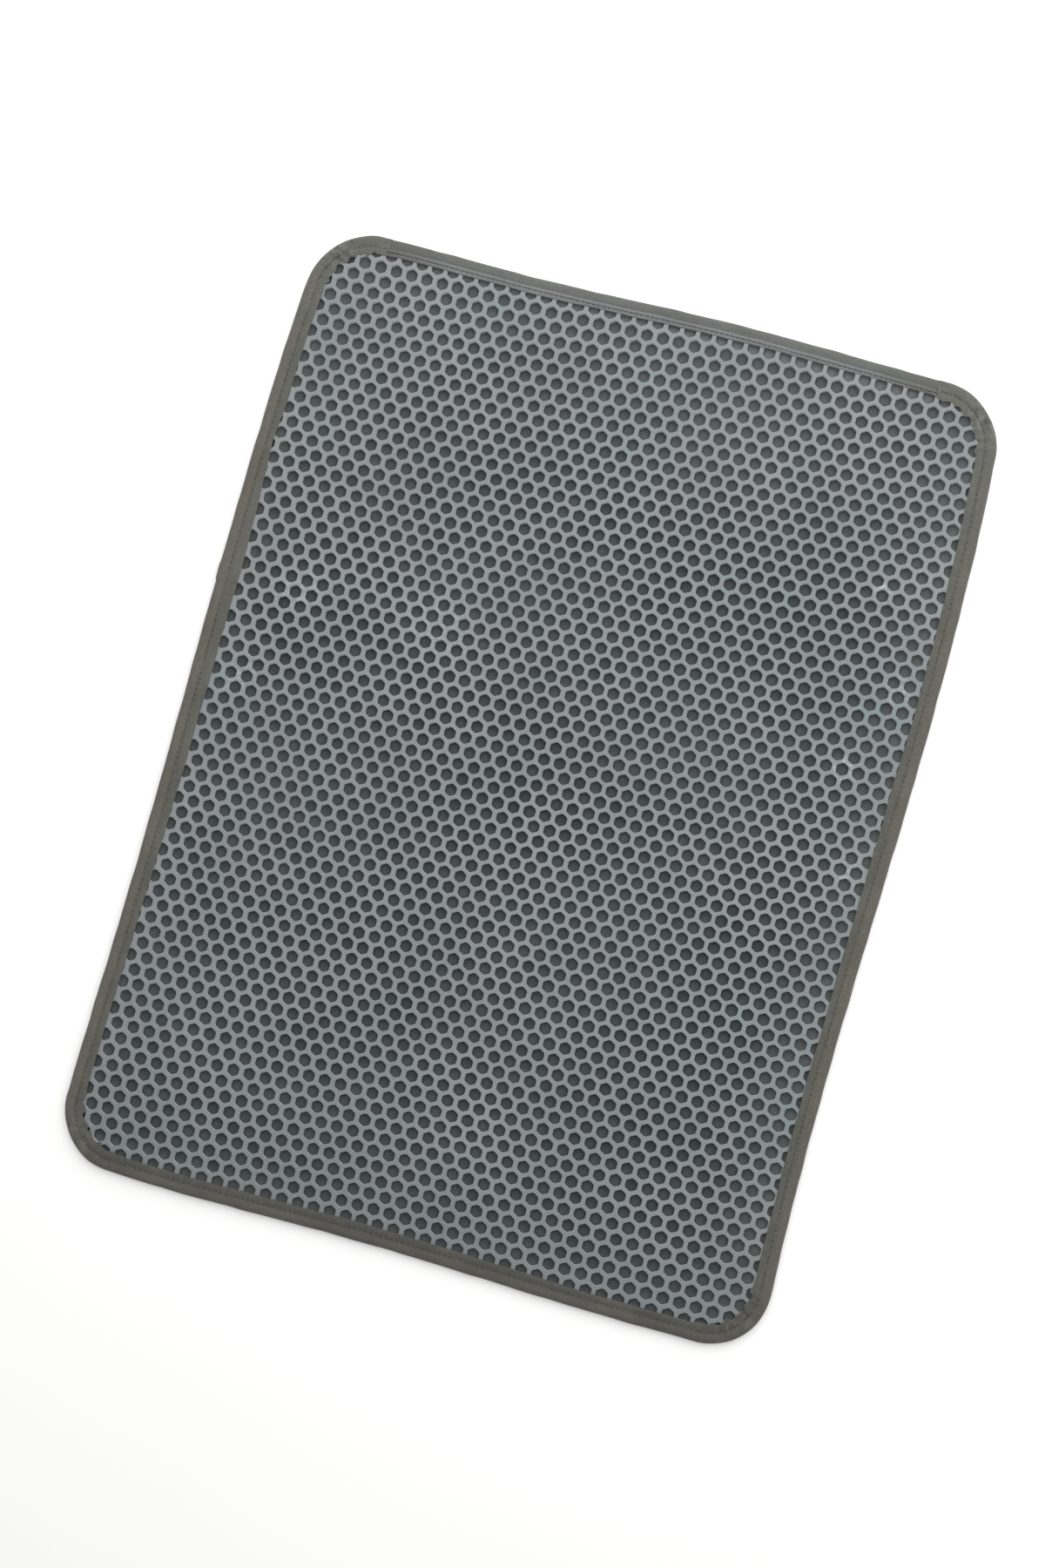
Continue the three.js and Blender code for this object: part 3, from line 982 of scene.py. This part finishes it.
def honeycomb_finish():
    """Light closed-cell foam: soft blotches, a fine pebble, pale rubbed places, painted shade towards the
    closed end, and punched walls painted paler to lift the shade in the holes.
    """
    finish = Finish("honeycomb_foam", 0.8)
    place = finish.place()
    blotch = finish.ramp(finish.noise(place, 110 * MM, 3, 0.6), 0.35, 0.65)
    tint = finish.ramp(finish.noise(place, 70 * MM, 2, 0.5, 3.1), 0.4, 0.7, 0.0, 0.45)
    fine = finish.noise(place, 4 * MM, 4, 0.6, 5.3)
    base = finish.mix(blotch, srgb(128, 132, 135), srgb(137, 141, 143))
    base = finish.mix(tint, base, srgb(120, 136, 140))
    base = finish.mix(finish.ramp(fine, 0.3, 0.75, 0.0, 0.3), base, srgb(148, 152, 154))
    streaky = finish.ramp(finish.noise(place, 3.5 * MM, 3, 0.7, 9.4), 0.42, 0.62)
    for x, y, radius, strength in SCUFFS:
        away = finish.node("ShaderNodeVectorMath", {0: place, 1: (x, y, SHEET_TOP)}, operation="DISTANCE")
        rubbed = finish.ramp(away.outputs["Value"], 0.2 * radius, radius, strength, 0.0)
        base = finish.mix(finish.product(rubbed, streaky), base, srgb(176, 186, 190))
    # Painted shade: the foam is darker towards the closed end, the end farthest from the lamp
    shade_at_closed_end = finish.ramp(finish.axis(place, "Y"), -0.98 * HALF_LENGTH, -0.7 * HALF_LENGTH, 0.4, 0.0)
    base = finish.mix(shade_at_closed_end, base, srgb(110, 119, 123))
    # Painted light: the upright walls of the holes are painted paler, which lifts the shade inside the
    # holes; cut foam is also a little paler than its skin
    facing = finish.node("ShaderNodeNewGeometry", {}).outputs["True Normal"]
    level = finish.math("ABSOLUTE", finish.axis(facing, "Z"))
    base = finish.mix(finish.ramp(level, 0.1, 0.5, 0.85, 0.0), base, srgb(172, 176, 177))
    finish.colour(base)
    finish.roughness(finish.ramp(fine, 0.2, 0.8, 0.72, 0.9))
    dimples = finish.noise(place, 2.2 * MM, 2, 0.5, 2.2)
    pebble = finish.noise(place, 0.5 * MM, 2, 0.6, 1.4)
    finish.bump((dimples, 0.12 * MM), (pebble, 0.06 * MM))
    return finish.material


def base_finish():
    """Dark closed-cell foam with a dusty bloom, paler on the right and along the tape, and painted light
    that lifts the shade towards the mouth and in the holes beside the tapes at both ends.
    """
    finish = Finish("base_foam", 0.85)
    place = finish.place()
    blotch = finish.ramp(finish.noise(place, 50 * MM, 3, 0.6, 7.7), 0.3, 0.7)
    cell = finish.ramp(finish.noise(place, 11 * MM, 2, 0.5, 4.2), 0.35, 0.65)
    warm = finish.ramp(finish.noise(place, 16 * MM, 2, 0.5, 11.3), 0.45, 0.65, 0.0, 0.5)
    base = finish.mix(blotch, srgb(63, 71, 74), srgb(69, 76, 79))
    base = finish.mix(finish.product(cell, 0.55), base, srgb(84, 90, 92))
    base = finish.mix(warm, base, srgb(76, 77, 76))
    x, y = finish.axis(place, "X"), finish.axis(place, "Y")
    from_middle = finish.math("ABSOLUTE", x)
    right = finish.ramp(x, 0.7 * HALF_WIDTH, 0.93 * HALF_WIDTH, 0.0, 0.2)
    beside_tape = finish.ramp(from_middle, HALF_WIDTH - 19 * MM, HALF_WIDTH - 13 * MM, 0.0, 0.2)
    # Painted light: the foam is paler towards the mouth, the end nearest the lamp, and paler still in the
    # first row of holes, lifting the shade under the upper lip
    mouth = finish.ramp(y, 0.45 * HALF_LENGTH, 0.88 * HALF_LENGTH, 0.0, 0.4)
    painted_light_first_row = finish.ramp(y, 0.938 * HALF_LENGTH, 0.963 * HALF_LENGTH, 0.0, 0.66)
    # Painted light: paler in the last row of holes at the closed end, lifting the shade under the edge tape
    painted_light_last_row = finish.ramp(y, -0.96 * HALF_LENGTH, -0.935 * HALF_LENGTH, 0.4, 0.0)
    base = finish.mix(right, base, srgb(110, 114, 114))
    base = finish.mix(beside_tape, base, srgb(108, 110, 106))
    base = finish.mix(mouth, base, srgb(98, 102, 103))
    base = finish.mix(painted_light_first_row, base, srgb(122, 125, 125))
    base = finish.mix(painted_light_last_row, base, srgb(98, 101, 101))
    finish.colour(base)
    finish.bump((finish.noise(place, 1.6 * MM, 3, 0.6, 8.8), 0.15 * MM))
    return finish.material


def fabric_finish(name, profile, seam, outer, inner, near_mouth, lip_ends, seam_shade_and_grime_strength):
    """A woven tape: crossing yarns, streaks along its length, mottled tone, painted shade towards the closed
    end, painted shade and highlight on the corners' puckers, and a seam darkened by painted shade and dirt.
    """
    finish = Finish(name, 0.9)
    finish.surface.inputs["Sheen Weight"].default_value = 0.15
    finish.surface.inputs["Sheen Roughness"].default_value = 0.5
    line, over = outside_line(profile)
    on_top = np.arange(len(over)) > len(over) / 2
    fold_at = over[-1] / 2
    seam_at = np.interp(seam, line[on_top, 0], over[on_top]) - fold_at

    place = finish.place()
    uv = finish.node("ShaderNodeUVMap", {}, uv_map="along_and_across").outputs["UV"]
    along, across = finish.axis(uv, "X"), finish.axis(uv, "Y")
    from_fold = finish.math("ABSOLUTE", finish.math("SUBTRACT", across, fold_at))
    past_seam = finish.ramp(from_fold, seam_at - 1.2 * MM, seam_at + 0.8 * MM)
    base = finish.mix(past_seam, outer, inner)
    from_middle, y = finish.math("ABSOLUTE", finish.axis(place, "X")), finish.axis(place, "Y")
    base = finish.mix(finish.ramp(y, 140 * MM, 300 * MM, 0.0, 0.8), base, near_mouth)
    # Painted shade: the tape is darker towards the closed end, the end farthest from the lamp
    base = finish.mix(finish.ramp(y, -300 * MM, -240 * MM, 0.75, 0.0), base, tuple(0.69 * c for c in inner))

    stretched = finish.node("ShaderNodeCombineXYZ", {"X": finish.product(along, 0.03), "Y": across})
    streak = finish.noise(stretched.outputs[0], 0.9 * MM, 2, 0.5, 1.9)
    mottle = finish.noise(place, 2.6 * MM, 4, 0.65, 2.6)
    patch = finish.noise(place, 30 * MM, 3, 0.6, 6.4)
    base = finish.mix(finish.ramp(mottle, 0.3, 0.7, 0.4, 0.0), base, tuple(0.72 * c for c in inner))
    base = finish.mix(finish.ramp(mottle, 0.5, 0.8, 0.0, 0.3), base, tuple(1.5 * c for c in outer))
    base = finish.mix(finish.ramp(streak, 0.35, 0.7, 0.0, 0.28), base, tuple(0.66 * c for c in outer))
    base = finish.mix(finish.ramp(patch, 0.35, 0.7, 0.0, 0.3), base, tuple(1.3 * c for c in outer))
    # Painted shade and highlight at the corners: the dark and pale blotches stand for the shading of the
    # gathered tape's puckers, along with its own mottle, and fade towards the closed end
    corner = finish.product(
        finish.ramp(from_middle, HALF_WIDTH - 34 * MM, HALF_WIDTH - 16 * MM),
        finish.ramp(finish.math("ABSOLUTE", y), HALF_LENGTH - 34 * MM, HALF_LENGTH - 16 * MM),
        finish.ramp(y, -200 * MM, 200 * MM, 0.4, 1.0),
    )
    at_mouth, off_middle = finish.ramp(y, 270 * MM, 285 * MM), finish.ramp(from_middle, 130 * MM, 174 * MM)
    base = finish.mix(finish.product(at_mouth, off_middle, 0.8), base, lip_ends)
    blotch = finish.noise(place, 4.8 * MM, 3, 0.6, 8.1)
    dark = finish.product(corner, finish.ramp(blotch, 0.36, 0.5, 0.75, 0.0))
    pale = finish.product(corner, finish.ramp(blotch, 0.5, 0.64, 0.0, 0.65))
    base = finish.mix(dark, base, tuple(0.6 * c for c in inner))
    base = finish.mix(pale, base, tuple(1.5 * c for c in near_mouth))

    # Painted shade and dirt: the tape is darker in the seam's groove, most at the needle holes, where both
    # gather
    needle_holes = finish.math("COSINE", finish.product(along, 2 * math.pi / STITCH))
    beside_seam = finish.math("ABSOLUTE", finish.math("SUBTRACT", from_fold, seam_at))
    seam_shade_and_grime = finish.product(
        finish.ramp(beside_seam, 0.25 * MM, 1.1 * MM, seam_shade_and_grime_strength, 0.0),
        finish.ramp(needle_holes, -0.6, 0.9, 0.15, 1.0),
        finish.ramp(finish.noise(place, 6 * MM, 2, 0.6, 5.5), 0.35, 0.6, 0.25, 1.0),
    )
    base = finish.mix(seam_shade_and_grime, base, tuple(0.42 * c for c in inner))
    finish.colour(base)

    yarn = math.pi / (0.55 * MM)
    waves = (finish.math("SINE", finish.product(way, yarn)) for way in (along, across))
    weave = finish.product(*waves)
    finish.roughness(finish.ramp(weave, -1.0, 1.0, 0.95, 0.82))
    finish.bump((mottle, 0.22 * MM), (streak, 0.16 * MM), (weave, 0.1 * MM))
    return finish.material


def thread_finish():
    finish = Finish("seam_thread", 0.6)
    uv = finish.node("ShaderNodeUVMap", {}, uv_map="along_and_across").outputs["UV"]
    along, around = finish.product(finish.axis(uv, "X"), 9000), finish.product(finish.axis(uv, "Y"), 5000)
    ply = finish.math("SINE", finish.math("ADD", along, around))
    # Painted shade and highlight: the thread is darker in the grooves of its twist and lighter on its crowns
    finish.colour(finish.mix(finish.ramp(ply, -1.0, 1.0), srgb(62, 60, 55), srgb(86, 84, 78)))
    finish.bump((ply, 0.05 * MM))
    return finish.material


def floor_finish():
    finish = Finish("pale_floor", 0.7)
    finish.surface.inputs["Emission Color"].default_value = (1, 1, 1, 1)
    finish.surface.inputs["Emission Strength"].default_value = 0.2
    place = finish.place()
    finish.colour(finish.mix(finish.noise(place, 0.3, 2), (0.86, 0.86, 0.86), (0.88, 0.88, 0.88)))
    return finish.material


def add_floor():
    points = [(FLOOR_HALF * x, FLOOR_HALF * y, 0) for x, y in ((-1, -1), (1, -1), (1, 1), (-1, 1))]
    floor = make_object("floor", points, [(0, 1, 2, 3)], floor_finish())


# ---------------------------------------------------------------- the scene

add_camera()
add_world()
add_key_light()
bpy.context.scene.view_settings.view_transform = "Standard"

add_floor()
add_base_sheet(base_finish())
add_honeycomb(honeycomb_finish())
taupe, dark_taupe, mouth_grey = srgb(103, 99, 92), srgb(92, 92, 87), srgb(103, 106, 102)
# The upper lip's grey is partly painted light: it is lighter than the lower lip's grey because the upper lip
# faces the lamp more, and it is a little bluer in tone
upper_lip_grey_with_painted_light, lip_ends = srgb(117, 121, 122), srgb(99, 99, 94)
colours = (taupe, dark_taupe, mouth_grey, lip_ends)
add_edge_tape(fabric_finish("edge_fabric", EDGE_PROFILE, EDGE_SEAM, *colours, 0.7))
colours = (mouth_grey, mouth_grey, mouth_grey, lip_ends)
add_lower_lip_tape(fabric_finish("lower_lip_fabric", LOWER_LIP_PROFILE, LOWER_LIP_SEAM, *colours, 0.3))
colours = (upper_lip_grey_with_painted_light, upper_lip_grey_with_painted_light, upper_lip_grey_with_painted_light, lip_ends)
add_upper_lip_tape(fabric_finish("upper_lip_fabric", UPPER_LIP_PROFILE, UPPER_LIP_SEAM, *colours, 0.2))
add_stitches(thread_finish())
